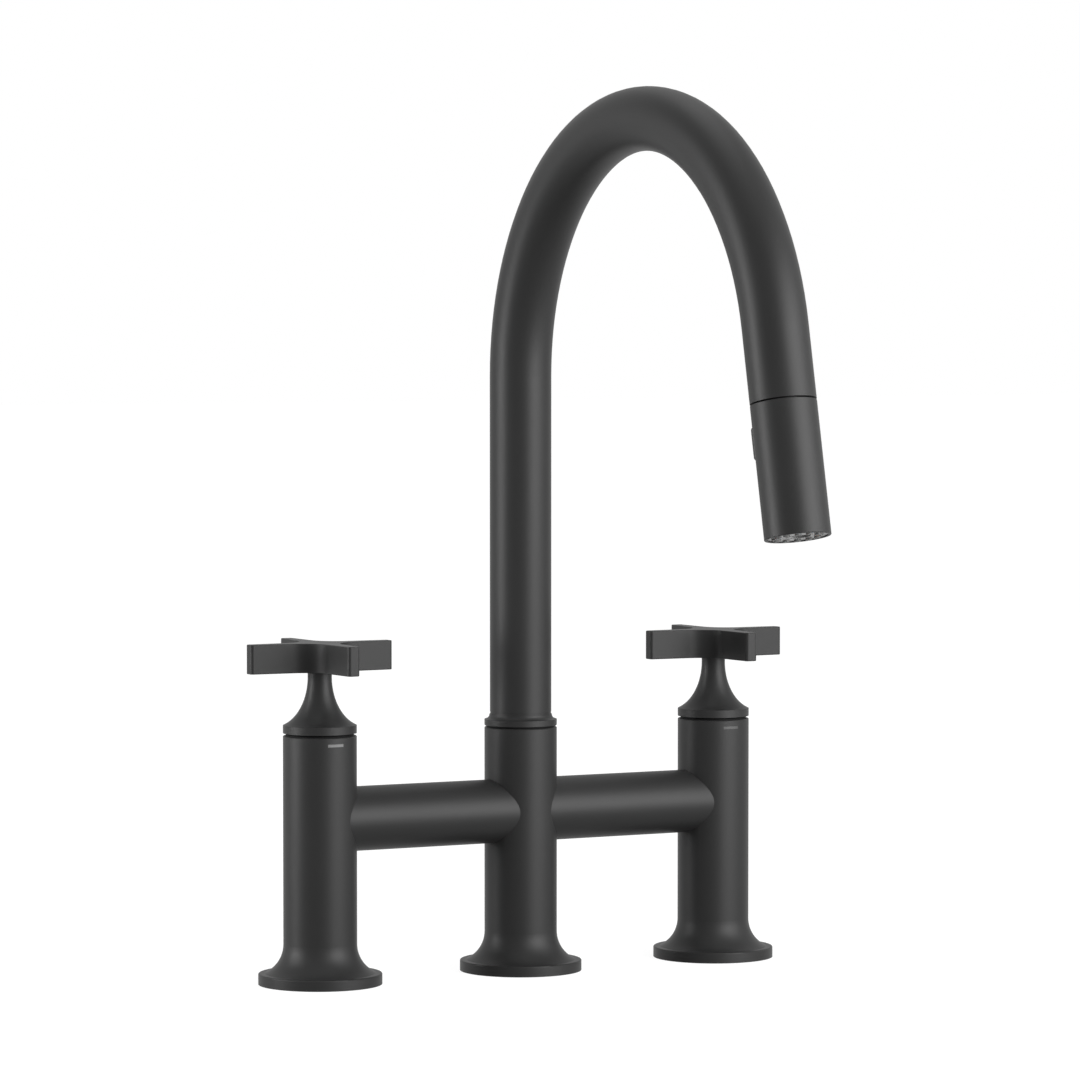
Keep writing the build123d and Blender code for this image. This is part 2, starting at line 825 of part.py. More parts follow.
with BuildPart() as spout_spigot:
    turned(
        upright(centre),
        Axis.Z,
        (spigot_bore, spigot_bottom),
        (spigot_fit, spigot_bottom),
        (spigot_fit, lock_height - lock_groove_half),
        (spigot_fit - lock_groove_depth, lock_height - lock_groove_half),
        (spigot_fit - lock_groove_depth, lock_height + lock_groove_half),
        (spigot_fit, lock_height + lock_groove_half),
        (spigot_fit, tube_seat),
        (spout_bore - assembly_gap, tube_seat),
        (spout_bore - assembly_gap, spigot_top),
        (spigot_bore, spigot_top),
    )
    for height in (lower_ring_height, upper_ring_height):
        with BuildSketch(centre.offset(height - spigot_ring_section - glide_play)):
            Circle(spout_bore)
            Circle(spigot_fit - spigot_groove_depth, mode=Mode.SUBTRACT)
        extrude(amount=2 * (spigot_ring_section + glide_play), mode=Mode.SUBTRACT)
save(spout_spigot, "spout_spigot")

with BuildPart() as spigot_o_rings:
    for height in (lower_ring_height, upper_ring_height):
        turned_ring(
            upright(centre),
            Axis.Z,
            spigot_radius - spigot_ring_play - spigot_ring_section,
            height,
            spigot_ring_section,
        )
save(spigot_o_rings, "spigot_o_rings")

with BuildPart() as spout_glide_ring:
    tube(
        centre.offset(column_height),
        column_radius - glide_inset,
        spigot_radius + glide_play,
        seam_gap - glide_play,
    )
save(spout_glide_ring, "spout_glide_ring")

with BuildPart() as spout_lock_screw:
    tip_start = spigot_fit - lock_groove_depth + moving_gap
    with BuildSketch(lock_plane.offset(tip_start)):
        Circle(lock_tip_radius)
    extrude(amount=spigot_radius + moving_gap - tip_start)
    with BuildSketch(lock_plane.offset(spigot_radius + moving_gap)):
        Circle(lock_screw_radius)
    extrude(amount=column_radius - lock_screw_recess - spigot_radius - moving_gap)
    with BuildSketch(lock_plane.offset(column_radius - lock_screw_recess)):
        RegularPolygon(lock_socket_radius, hexagon)
    extrude(amount=-lock_socket_depth, mode=Mode.SUBTRACT)
save(spout_lock_screw, "spout_lock_screw")

with BuildPart() as spout_collar:
    with BuildSketch(upright(centre)):
        collar_top = collar_bottom + collar_height
        sweep_start = collar_top - collar_sweep
        lip = spout_radius + lip_width
        with BuildLine():
            Polyline(
                (spigot_fit + assembly_gap, collar_bottom),
                (column_radius - edge_break, collar_bottom),
                (column_radius, collar_bottom + edge_break),
                (column_radius, sweep_start - sweep_lip),
                (lip + collar_sweep, sweep_start),
            )
            RadiusArc((lip + collar_sweep, sweep_start), (lip, collar_top), collar_sweep)
            Polyline(
                (lip, collar_top),
                (spout_radius + assembly_gap, collar_top),
                (spout_radius + assembly_gap, tube_seat),
                (spigot_fit + assembly_gap, tube_seat),
                (spigot_fit + assembly_gap, collar_bottom),
            )
        make_face()
    revolve(axis=Axis.Z)
save(spout_collar, "spout_collar")

# ---------------------------------------------------------------- gooseneck
witness_rise = 0.5  # fine turned line above the collar
witness_height = 0.6
witness_depth = 0.25
mouth_edge = 0.2


def gooseneck_path(start, leg):
    """The tube's middle line from a height on the riser, round the bend and down the leg."""
    with BuildLine(Plane.YZ) as path:
        Line((0, start), (0, spout_rise))
        bend = JernArc((0, spout_rise), (0, 1), spout_bend_radius, spout_bend_angle)
        if leg > 0:
            Line(bend @ 1, (bend @ 1) + (bend % 1) * leg)
    return path


with BuildPart() as spout_tube:
    gooseneck = gooseneck_path(tube_seat, spout_leg - head_gap)
    with BuildSketch(centre.offset(tube_seat)):
        Circle(spout_radius)
        Circle(spout_bore, mode=Mode.SUBTRACT)
    sweep(path=gooseneck.line)
    with BuildSketch(centre.offset(collar_bottom + collar_height + witness_rise)):
        Circle(column_radius)
        Circle(spout_radius - witness_depth, mode=Mode.SUBTRACT)
    extrude(amount=witness_height, mode=Mode.SUBTRACT)
    tube_mouth = spout_tube.edges().filter_by(GeomType.CIRCLE).sort_by(head_axis)[-2:]
    chamfer(tube_mouth.sort_by(SortBy.RADIUS)[-1], mouth_edge)
save(spout_tube, "spout_tube")

# ---------------------------------------------------------------- dock in the spout's mouth
dock_depth = 24.0
dock_wall = 3.15
dock_rim = 0.3  # the sleeve ends this far inside the tube's mouth
dock_lead_in = 1.0
dock_lead_height = 1.5
magnet_thickness = 3.0
magnet_seat = 14.3  # depth of the magnet's lower face
hose_room = 1.6
dock_outer = spout_bore - assembly_gap
dock_bore = dock_outer - dock_wall
dock_bottom = -head_gap - dock_rim
hose_clearance = hose_radius + hose_room

with BuildPart() as dock_sleeve:
    turned(
        head_profile,
        head_axis,
        (hose_clearance, -dock_depth),
        (dock_outer, -dock_depth),
        (dock_outer, dock_bottom),
        (dock_bore + dock_lead_in, dock_bottom),
        (dock_bore, dock_bottom - dock_lead_height),
        (dock_bore, -magnet_seat - magnet_thickness),
        (hose_clearance, -magnet_seat - magnet_thickness),
    )
save(dock_sleeve, "dock_sleeve")

with BuildPart() as dock_magnet:
    tube(
        head.offset(-magnet_seat - magnet_thickness),
        dock_bore - assembly_gap,
        hose_clearance,
        magnet_thickness,
    )
save(dock_magnet, "dock_magnet")

# ---------------------------------------------------------------- hose
tail_end = 12.2  # above the seam
ferrule_wall = 0.9
ferrule_start = 22.0
swivel_stem = 4.5
swivel_stem_end = 9.5
nut_shoulder = 5.2
swivel_bore = 2.4
ferrule_radius = hose_radius + ferrule_wall
barb_radius = hose_bore - assembly_gap

with BuildPart() as spray_hose:
    hose_line = gooseneck_path(-hose_end_below_deck, 0)
    with BuildSketch(centre.offset(-hose_end_below_deck)):
        Circle(hose_radius)
        Circle(hose_bore, mode=Mode.SUBTRACT)
    sweep(path=hose_line.line)
save(spray_hose, "spray_hose")

with BuildPart() as hose_tail:
    tube(head.offset(-spout_leg), hose_radius, hose_bore, spout_leg - tail_end)
save(hose_tail, "hose_tail")

with BuildPart() as hose_ferrule:
    tube(
        head.offset(-ferrule_start),
        ferrule_radius,
        hose_radius + assembly_gap,
        ferrule_start - tail_end,
    )
save(hose_ferrule, "hose_ferrule")

with BuildPart() as hose_swivel:
    turned(
        head_profile,
        head_axis,
        (swivel_bore, -ferrule_start),
        (barb_radius, -ferrule_start),
        (barb_radius, -tail_end),
        (ferrule_radius, -tail_end),
        (ferrule_radius, nut_shoulder),
        (swivel_stem, nut_shoulder),
        (swivel_stem, swivel_stem_end),
        (swivel_bore, swivel_stem_end),
    )
save(hose_swivel, "hose_swivel")

coupling_sleeve_length = 12.0
coupling_sleeve_wall = 1.0
coupling_shoulder = 1.0
coupling_plug_radius = 4.5
coupling_plug_length = 18.0
coupling_land = 14.0  # smooth length of the plug below its groove
coupling_groove_depth = 0.6
coupling_plug_end = hose_end_below_deck + coupling_plug_length
sleeve_outer = hose_radius + coupling_sleeve_wall

with BuildPart() as hose_coupling:
    turned(
        upright(centre),
        Axis.Z,
        (swivel_bore, -coupling_plug_end),
        (coupling_plug_radius, -coupling_plug_end),
        (coupling_plug_radius, coupling_land - coupling_plug_end),
        (coupling_plug_radius - coupling_groove_depth, coupling_land - coupling_plug_end),
        (coupling_plug_radius - coupling_groove_depth, -hose_end_below_deck - coupling_shoulder),
        (sleeve_outer, -hose_end_below_deck - coupling_shoulder),
        (sleeve_outer, coupling_sleeve_length - hose_end_below_deck),
        (hose_radius + assembly_gap, coupling_sleeve_length - hose_end_below_deck),
        (hose_radius + assembly_gap, -hose_end_below_deck - assembly_gap),
        (swivel_bore, -hose_end_below_deck - assembly_gap),
    )
save(hose_coupling, "hose_coupling")

# ---------------------------------------------------------------- spray head
shell_top_wall = 3.0
plug_play = 0.4  # docking plug in the dock's bore
plug_hose_play = 0.35
plug_lead_height = 1.8
plug_flange = 2.0
button_flange_thickness = 1.2
button_flange_margin = 0.9
button_flange_play = 0.42
face_recess = 0.4
face_plate_thickness = 2.6
nozzle_pad = 1.7
aerator_radius = 6.4
aerator_length = 9.0
shell_seat = 0.5
head_bore = spout_radius - head_wall
head_fit = head_bore - assembly_gap
plug_radius = dock_bore - plug_play
plug_bore = ferrule_radius + plug_hose_play
plug_reach = magnet_seat - plug_play
plug_flange_top = head_gap + shell_top_wall + assembly_gap
body_top = plug_flange_top + plug_flange + assembly_gap
button_middle = button_start + button_length / 2
button_face = spout_radius + button_proud
flange_half_width = button_width / 2 + button_flange_margin
flange_half_length = button_length / 2 + button_flange_margin
button_flange_face = sqrt(head_bore**2 - flange_half_width**2) - button_flange_play
flange_back = button_flange_face - button_flange_thickness
cavity_floor = flange_back - button_travel - moving_gap
face_bottom = head_length - face_recess
face_top = face_bottom - face_plate_thickness
pad_top = face_top - assembly_gap - nozzle_pad
body_bottom = pad_top - assembly_gap
nozzle_circle = (head_bore + aerator_radius) / 2
plunger_middle = button_middle + plunger_lead
# planes that face out of the head's back, through the button's middle and along the plunger
back_way = (0, -leg_way.Z, leg_way.Y)
back = Plane(origin=seam + leg_way * button_middle, x_dir=(1, 0, 0), z_dir=back_way)
plunger_seat = Plane(origin=seam + leg_way * plunger_middle, x_dir=(1, 0, 0), z_dir=back_way)

with BuildPart() as spray_head_shell:
    tube(head.offset(head_gap), spout_radius, head_bore, head_length - head_gap)
    tube(
        head.offset(head_gap), head_bore + shell_seat, plug_radius + assembly_gap, shell_top_wall
    )
    with BuildSketch(back):
        Rectangle(button_width + 2 * moving_gap, button_length + 2 * moving_gap)
    extrude(amount=2 * spout_radius, mode=Mode.SUBTRACT)
    shell_rims = spray_head_shell.edges().filter_by(GeomType.CIRCLE)
    outer_rims = shell_rims.filter_by(lambda rim: abs(rim.radius - spout_radius) < running_gap)
    chamfer((outer_rims.sort_by(head_axis)[0], outer_rims.sort_by(head_axis)[-1]), mouth_edge)
save(spray_head_shell, "spray_head_shell")

with BuildPart() as head_dock_ring:
    turned(
        head_profile,
        head_axis,
        (plug_bore, -plug_reach),
        ((plug_radius + plug_bore) / 2, -plug_reach),
        (plug_radius, plug_lead_height - plug_reach),
        (plug_radius, plug_flange_top),
        (head_fit, plug_flange_top),
        (head_fit, plug_flange_top + plug_flange),
        (plug_bore, plug_flange_top + plug_flange),
    )
save(head_dock_ring, "head_dock_ring")

swivel_end_gap = 0.2
valve_pocket_height = 3.0
spring_pocket_depth = 3.8
spring_pocket_radius = 3.6
plunger_radius = 2.2
plunger_end = 6.5
plunger_waist = 1.3
plunger_waist_half = 1.6
stream_bore = 3.0
spray_bore = 1.8
spray_offset = 8.6
spray_chamber_height = 14.9
spray_chamber_wall = 2.0
aerator_wall = 1.4
valve_pocket_top = swivel_stem_end + swivel_end_gap
valve_pocket_bottom = valve_pocket_top + valve_pocket_height
spring_pocket_floor = cavity_floor - spring_pocket_depth
spray_chamber_top = body_bottom - spray_chamber_height

with BuildPart() as head_waterway:
    with BuildSketch(head.offset(body_top)):
        Circle(head_fit)
    extrude(amount=body_bottom - body_top)
    round_cut(head.offset(body_top), swivel_stem + running_gap, valve_pocket_top - body_top)
    round_cut(head.offset(valve_pocket_top), swivel_stem, valve_pocket_bottom - valve_pocket_top)
    round_cut(head.offset(valve_pocket_bottom), stream_bore, body_bottom - valve_pocket_bottom)
    with BuildSketch(back.offset(cavity_floor)):
        Rectangle(2 * (flange_half_width + moving_gap), 2 * (flange_half_length + moving_gap))
    extrude(amount=spout_radius, mode=Mode.SUBTRACT)
    round_cut(plunger_seat.offset(spring_pocket_floor), spring_pocket_radius, cavity_floor)
    round_cut(
        plunger_seat.offset(-plunger_end - button_travel - moving_gap),
        plunger_radius + running_gap,
        plunger_end + cavity_floor + button_travel,
    )
    with BuildSketch(head.offset(plunger_middle)):
        with Locations((0, spray_offset)):
            Circle(spray_bore)
    extrude(amount=spray_chamber_top + spray_bore - plunger_middle, mode=Mode.SUBTRACT)
    with BuildSketch(head.offset(spray_chamber_top)):
        Circle(head_bore - spray_chamber_wall)
        Circle(aerator_radius + aerator_wall, mode=Mode.SUBTRACT)
    extrude(amount=body_bottom - spray_chamber_top, mode=Mode.SUBTRACT)
    round_cut(
        head.offset(face_bottom - aerator_length - assembly_gap),
        aerator_radius + assembly_gap,
        aerator_length,
    )
save(head_waterway, "head_waterway")

check_seat = 0.5
check_head = 0.8
check_head_radius = 1.6
check_port_circle = 2.9
check_port = 0.6
check_port_count = 6
check_top = valve_pocket_top + check_seat
check_middle = check_top + check_head
check_bottom = valve_pocket_bottom - 2 * assembly_gap

with BuildPart() as check_valve:
    turned(
        head_profile,
        head_axis,
        (0, check_top),
        (check_head_radius, check_top),
        (check_head_radius, check_middle),
        (swivel_stem - assembly_gap, check_middle),
        (swivel_stem - assembly_gap, check_bottom),
        (0, check_bottom),
    )
    with BuildSketch(head.offset(valve_pocket_top)):
        with PolarLocations(check_port_circle, check_port_count):
            Circle(check_port)
    extrude(amount=valve_pocket_height, mode=Mode.SUBTRACT)
save(check_valve, "check_valve")

nozzle_hole = 1.5
nozzle_tip = 0.7
nozzle_bore = 0.5

with BuildPart() as face_plate:
    tube(
        head.offset(face_top),
        head_fit,
        aerator_radius + assembly_gap,
        face_plate_thickness,
    )
    with BuildSketch(head.offset(face_top)):
        with PolarLocations(nozzle_circle, nozzle_count):
            Circle(nozzle_hole)
    extrude(amount=face_plate_thickness, mode=Mode.SUBTRACT)
save(face_plate, "face_plate")

with BuildPart() as spray_nozzles:
    tube(
        head.offset(pad_top),
        head_fit - assembly_gap,
        aerator_radius + 2 * assembly_gap,
        nozzle_pad,
    )
    with BuildSketch(head.offset(pad_top)):
        with PolarLocations(nozzle_circle, nozzle_count):
            Circle(nozzle_hole - assembly_gap)
    extrude(amount=face_bottom + nozzle_tip - pad_top)
    with BuildSketch(head.offset(pad_top)):
        with PolarLocations(nozzle_circle, nozzle_count):
            Circle(nozzle_bore)
    extrude(amount=face_bottom + nozzle_tip - pad_top, mode=Mode.SUBTRACT)
save(spray_nozzles, "spray_nozzles")

mesh_recess = 0.8
mesh_rim = 1.0
mesh_pitch = 1.9
mesh_hole = 1.2
mesh_rows = 5
aerator_top = face_bottom - aerator_length

with BuildPart() as aerator:
    with BuildSketch(head.offset(aerator_top)):
        Circle(aerator_radius)
    extrude(amount=aerator_length)
    round_cut(head.offset(face_bottom - mesh_recess), aerator_radius - mesh_rim, mesh_recess)
    with BuildSketch(head.offset(aerator_top)):
        with GridLocations(mesh_pitch, mesh_pitch, mesh_rows, mesh_rows):
            Rectangle(mesh_hole, mesh_hole)
        Circle(aerator_radius - mesh_rim, mode=Mode.INTERSECT)
    extrude(amount=aerator_length, mode=Mode.SUBTRACT)
save(aerator, "aerator")

# ---------------------------------------------------------------- mode button
button_edge = 0.6
button_corner = 1.6

with BuildPart() as mode_button:
    with BuildSketch(back.offset(button_flange_face)):
        RectangleRounded(button_width, button_length, button_corner)
    extrude(amount=button_face - button_flange_face)
    fillet(mode_button.faces().sort_by(Axis(seam, back.z_dir))[-1].edges(), button_edge)
    with BuildSketch(back.offset(flange_back)):
        Rectangle(2 * flange_half_width, 2 * flange_half_length)
    extrude(amount=button_flange_thickness)
save(mode_button, "mode_button")

with BuildPart() as diverter_plunger:
    with BuildSketch(plunger_seat.offset(-plunger_end)):
        Circle(plunger_radius)
    extrude(amount=flange_back + plunger_end)
    with BuildSketch(plunger_seat.offset(-plunger_waist_half)):
        Circle(plunger_radius)
        Circle(plunger_waist, mode=Mode.SUBTRACT)
    extrude(amount=2 * plunger_waist_half, mode=Mode.SUBTRACT)
save(diverter_plunger, "diverter_plunger")

spring_wire = 0.25
spring_radius = 2.95
spring_turns = 5
spring_seat_gap = 0.05
spring_start = spring_pocket_floor + spring_wire + spring_seat_gap
spring_length = flange_back - spring_wire - spring_seat_gap - spring_start

with BuildPart() as button_spring:
    with BuildLine():
        coil = Helix(
            spring_length / spring_turns,
            spring_length,
            spring_radius,
            center=plunger_seat.offset(spring_start).origin,
            direction=plunger_seat.z_dir,
        )
    with BuildSketch(Plane(coil @ 0, z_dir=coil % 0)):
        Circle(spring_wire)
    sweep(path=coil)
save(button_spring, "button_spring")
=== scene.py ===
import json
import math

import bmesh
import bpy
from mathutils import Matrix, Vector


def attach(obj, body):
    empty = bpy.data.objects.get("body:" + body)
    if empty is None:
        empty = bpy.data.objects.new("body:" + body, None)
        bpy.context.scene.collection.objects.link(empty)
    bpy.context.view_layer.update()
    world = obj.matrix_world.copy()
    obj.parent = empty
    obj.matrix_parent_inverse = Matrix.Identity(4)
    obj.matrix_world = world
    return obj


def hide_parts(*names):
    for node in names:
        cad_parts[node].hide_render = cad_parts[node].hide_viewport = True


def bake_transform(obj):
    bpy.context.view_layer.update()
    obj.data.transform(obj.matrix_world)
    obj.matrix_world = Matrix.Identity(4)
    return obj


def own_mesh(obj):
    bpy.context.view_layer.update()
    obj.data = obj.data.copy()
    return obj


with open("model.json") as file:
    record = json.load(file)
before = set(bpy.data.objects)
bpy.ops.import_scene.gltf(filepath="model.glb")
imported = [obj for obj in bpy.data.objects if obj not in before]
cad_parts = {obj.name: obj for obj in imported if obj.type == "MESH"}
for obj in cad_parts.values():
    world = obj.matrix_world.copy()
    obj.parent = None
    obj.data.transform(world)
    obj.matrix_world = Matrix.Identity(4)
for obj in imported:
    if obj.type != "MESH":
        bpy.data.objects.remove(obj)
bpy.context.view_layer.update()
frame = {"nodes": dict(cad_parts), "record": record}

# Metres, +Z up, origin at the middle of the centre column's foot on the deck.
HALF_PITCH = 0.1016
COLUMN_TOP = 0.1112
LEG_TURN = math.radians(168)  # from straight up, round the bend, to the spout's leg
LEG_WAY = Vector((0, -math.sin(LEG_TURN), math.cos(LEG_TURN)))
SEAM = Vector((0, -0.2302254, 0.2626977))
BUTTON_WAY = Vector((0, -LEG_WAY.z, LEG_WAY.y))
MERGED = 1e-7  # corners nearer than this are one corner


# ---------------------------------------------------------------- finishes
class Signal:
    """The output of one node in a finish; arithmetic on it adds Math nodes."""

    def __init__(self, finish, socket):
        self.finish = finish
        self.socket = socket

    def __add__(self, other):
        return self.finish.maths("ADD", self, other)

    def __radd__(self, other):
        return self.finish.maths("ADD", other, self)

    def __sub__(self, other):
        return self.finish.maths("SUBTRACT", self, other)

    def __rsub__(self, other):
        return self.finish.maths("SUBTRACT", other, self)

    def __mul__(self, other):
        return self.finish.maths("MULTIPLY", self, other)

    def __rmul__(self, other):
        return self.finish.maths("MULTIPLY", other, self)

    def __truediv__(self, other):
        return self.finish.maths("DIVIDE", self, other)

    def __rtruediv__(self, other):
        return self.finish.maths("DIVIDE", other, self)

    def __mod__(self, other):
        return self.finish.maths("FLOORED_MODULO", self, other)

    def __gt__(self, other):
        return self.finish.maths("GREATER_THAN", self, other)


class Finish:
    """The node tree of one material, or of the world."""

    def __init__(self, owner):
        owner.use_nodes = True
        self.owner = owner
        self.tree = owner.node_tree
        self.tree.nodes.clear()

    def node(self, kind, settings=None, sockets=None, output=0):
        """Adds a node: its settings first, then its sockets' values and links."""
        made = self.tree.nodes.new(kind)
        for name, value in (settings or {}).items():
            setattr(made, name, value)
        for name, value in (sockets or {}).items():
            if isinstance(value, Signal):
                self.tree.links.new(value.socket, made.inputs[name])
            else:
                made.inputs[name].default_value = value
        return Signal(self, made.outputs[output]) if made.outputs else None

    def maths(self, operation, *values):
        return self.node(
            "ShaderNodeMath", {"operation": operation}, dict(enumerate(values))
        )

    def place(self):
        """The point on the piece, in metres of the shared frame."""
        return self.node("ShaderNodeTexCoord", output="Object")

    def scaled(self, vector, factors):
        return self.node(
            "ShaderNodeVectorMath", {"operation": "MULTIPLY"}, {0: vector, 1: factors}
        )

    def parts(self, vector):
        """The x, y and z of a vector as three numbers."""
        split = self.node("ShaderNodeSeparateXYZ", sockets={0: vector}).socket.node
        return [Signal(self, socket) for socket in split.outputs]

    def cloud(self, vector, grain, detail=2.0, roughness=0.5):
        """Smooth noise between 0 and 1 whose grains are that many metres across."""
        return self.node(
            "ShaderNodeTexNoise",
            {"noise_dimensions": "3D"},
            {"Vector": vector, "Scale": 1 / grain, "Detail": detail, "Roughness": roughness},
            "Fac",
        )

    def between(self, share, first, second):
        """A colour mixed between two."""
        return self.node(
            "ShaderNodeMix", {"data_type": "RGBA"}, {0: share, 6: first, 7: second}, 2
        )

    def relief(self, height, depth):
        """The normal of a surface whose height runs from 0 to 1 over that depth in metres."""
        return self.node("ShaderNodeBump", sockets={"Height": height, "Distance": depth})

    def surface(self, **sockets):
        """Ends the material in a Principled shader with these sockets."""
        named = {name.replace("_", " "): value for name, value in sockets.items()}
        self.shown(self.node("ShaderNodeBsdfPrincipled", sockets=named))

    def shown(self, shader):
        kind = "World" if isinstance(self.owner, bpy.types.World) else "Material"
        self.node(f"ShaderNodeOutput{kind}", sockets={"Surface": shader})


def finish(name):
    return Finish(bpy.data.materials.new(name))


def grey(level):
    return (level, level, level, 1)


BRIGHT_BRASS = (0.62, 0.46, 0.22, 1)
DULL_BRASS = (0.42, 0.29, 0.13, 1)
LATHE_LINE = 0.00022
DRAWN_LINE = 0.00025
SPARK_GRAIN = 0.00028
GAP_SHADE_LAP = 0.0004  # painted shade: the black painted on the cartridge flange for the dark gap under the handle reaches this far into the column


def satin_black_coat():
    """Matt black electrocoat on metal: nearly flat, with a fine even grain."""
    coat = finish("satin_black_coat")
    place = coat.place()
    broad = coat.cloud(place, 0.03, 3)
    grain = coat.cloud(place, 0.00032, 2, 0.6)
    coat.surface(
        Base_Color=coat.between(broad * 0.6 + grain * 0.4, grey(0.009), grey(0.0125)),
        Roughness=0.44 + broad * 0.05 + grain * 0.03,
        Specular_IOR_Level=0.165,
        Normal=coat.relief(grain, 0.000008),
    )
    return coat.owner


def lathe_marks(brass):
    """The lathe's fine rings round the upright axis, and the slow patches of tarnish."""
    place = brass.place()
    rings = brass.cloud(brass.scaled(place, (0.02, 0.02, 1.0)), LATHE_LINE, 3, 0.7)
    return rings, brass.cloud(place, 0.009, 4, 0.6)


def turned_brass():
    """Bare turned brass, ringed by the lathe, with dull patches."""
    brass = finish("turned_brass")
    rings, tarnish = lathe_marks(brass)
    brass.surface(
        Base_Color=brass.between(tarnish * 1.4 - 0.2, BRIGHT_BRASS, DULL_BRASS),
        Metallic=1.0,
        Roughness=0.24 + rings * 0.1 + tarnish * 0.12,
        Normal=brass.relief(rings, 0.00001),
    )
    return brass.owner


def brass_with_gap_shade():
    """A valve cartridge's brass, whose flange above the column is painted dull black as painted
    shade for the gap under the handle.
    """
    brass = finish("brass_with_gap_shade")
    rings, tarnish = lathe_marks(brass)
    # painted shade: above the column top the brass turns dull, near-black and rough, standing for
    # the shade in the gap under the handle
    gap_shade_mask = brass.parts(brass.place())[2] > COLUMN_TOP - GAP_SHADE_LAP
    metal = brass.between(tarnish, BRIGHT_BRASS, DULL_BRASS)
    brass.surface(
        Base_Color=brass.between(gap_shade_mask, metal, grey(0.005)),
        Metallic=1 - gap_shade_mask,
        Roughness=0.26 + tarnish * 0.12 + gap_shade_mask * 0.3,
        Specular_IOR_Level=0.05,
        Normal=brass.relief(rings, 0.00001),
    )
    return brass.owner


def drawn_lines(steel):
    """Fine lines along X, as a drawn or brushed bar has."""
    return steel.cloud(steel.scaled(steel.place(), (0.05, 1.0, 1.0)), DRAWN_LINE, 3, 0.65)


def black_oxide_steel():
    """Steel blackened by oxide: a thin dark skin, faintly cloudy, over fine drawn lines."""
    steel = finish("black_oxide_steel")
    lines = drawn_lines(steel)
    cloudy = steel.cloud(steel.place(), 0.003, 4, 0.6)
    steel.surface(
        Base_Color=steel.between(cloudy, (0.010, 0.010, 0.011, 1), (0.022, 0.022, 0.024, 1)),
        Metallic=0.4,
        Roughness=0.42 + cloudy * 0.12 + lines * 0.06,
        Normal=steel.relief(lines, 0.000006),
    )
    return steel.owner


def brushed_steel():
    """Stainless steel with fine drawn lines and a few faint stains."""
    steel = finish("brushed_steel")
    lines = drawn_lines(steel)
    stain = steel.cloud(steel.place(), 0.006, 3)
    steel.surface(
        Base_Color=steel.between(stain, (0.56, 0.56, 0.57, 1), (0.44, 0.44, 0.45, 1)),
        Metallic=1.0,
        Roughness=0.26 + lines * 0.14 + stain * 0.06,
        Normal=steel.relief(lines, 0.000008),
    )
    return steel.owner


def moulded_rubber():
    """Black rubber with a dusty bloom and a coarse moulded skin."""
    rubber = finish("moulded_rubber")
    place = rubber.place()
    skin = rubber.cloud(place, 0.0005, 4, 0.65)
    bloom = rubber.cloud(place, 0.008, 4, 0.6)
    rubber.surface(
        Base_Color=rubber.between(bloom, grey(0.012), grey(0.035)),
        Roughness=0.68 + bloom * 0.18,
        Normal=rubber.relief(skin, 0.00004),
    )
    return rubber.owner


def moulded_plastic(name, low, high, roughness, grain_depth, gloss):
    """Injection-moulded plastic: spark-eroded grain and a slow drift in colour and gloss."""
    plastic = finish(name)
    place = plastic.place()
    spark = plastic.cloud(place, SPARK_GRAIN, 3, 0.6)
    flow = plastic.cloud(place, 0.006, 3)
    plastic.surface(
        Base_Color=plastic.between(flow * 0.7 + spark * 0.3, low, high),
        Roughness=roughness + spark * 0.1 - flow * 0.05,
        Specular_IOR_Level=gloss,
        Normal=plastic.relief(spark, grain_depth),
    )
    return plastic.owner


def nozzle_silicone():
    """Soft grey silicone rubber, slightly mottled, with a dull sheen."""
    silicone = finish("nozzle_silicone")
    place = silicone.place()
    mottle = silicone.cloud(place, 0.0011, 4, 0.6)
    silicone.surface(
        Base_Color=silicone.between(mottle, grey(0.085), grey(0.14)),
        Roughness=0.5 + mottle * 0.16,
        Subsurface_Weight=0.05,
        Normal=silicone.relief(mottle, 0.00003),
    )
    return silicone.owner


def valve_ceramic():
    """Lapped alumina: warm white, smooth, with tiny pores."""
    ceramic = finish("valve_ceramic")
    place = ceramic.place()
    body = ceramic.cloud(place, 0.003, 3)
    pores = ceramic.cloud(place, 0.00016, 2, 0.8)
    ceramic.surface(
        Base_Color=ceramic.between(body, (0.78, 0.76, 0.70, 1), (0.68, 0.66, 0.60, 1)),
        Roughness=0.18 + pores * 0.12,
        Normal=ceramic.relief(pores, 0.000004),
    )
    return ceramic.owner


def nickelled_magnet():
    """A sintered magnet under bright nickel plate, a little orange-peeled."""
    nickel = finish("nickelled_magnet")
    place = nickel.place()
    peel = nickel.cloud(place, 0.0006, 3, 0.6)
    haze = nickel.cloud(place, 0.004, 3)
    nickel.surface(
        Base_Color=nickel.between(haze, (0.62, 0.59, 0.54, 1), (0.5, 0.48, 0.44, 1)),
        Metallic=1.0,
        Roughness=0.16 + haze * 0.14,
        Normal=nickel.relief(peel, 0.00001),
    )
    return nickel.owner


def drawn_copper():
    """Drawn copper tube with lengthways lines and brown tarnish."""
    copper = finish("drawn_copper")
    place = copper.place()
    lines = copper.cloud(copper.scaled(place, (1.0, 1.0, 0.03)), DRAWN_LINE, 3, 0.7)
    tarnish = copper.cloud(place, 0.005, 5, 0.65)
    copper.surface(
        Base_Color=copper.between(
            tarnish * 1.5 - 0.25, (0.72, 0.34, 0.2, 1), (0.33, 0.14, 0.08, 1)
        ),
        Metallic=1.0,
        Roughness=0.24 + tarnish * 0.2 + lines * 0.06,
        Normal=copper.relief(lines, 0.000012),
    )
    return copper.owner


STRANDS = 10  # round the hose, in each direction
STRAND_STEP = 0.0042  # along the hose, from one strand to the next


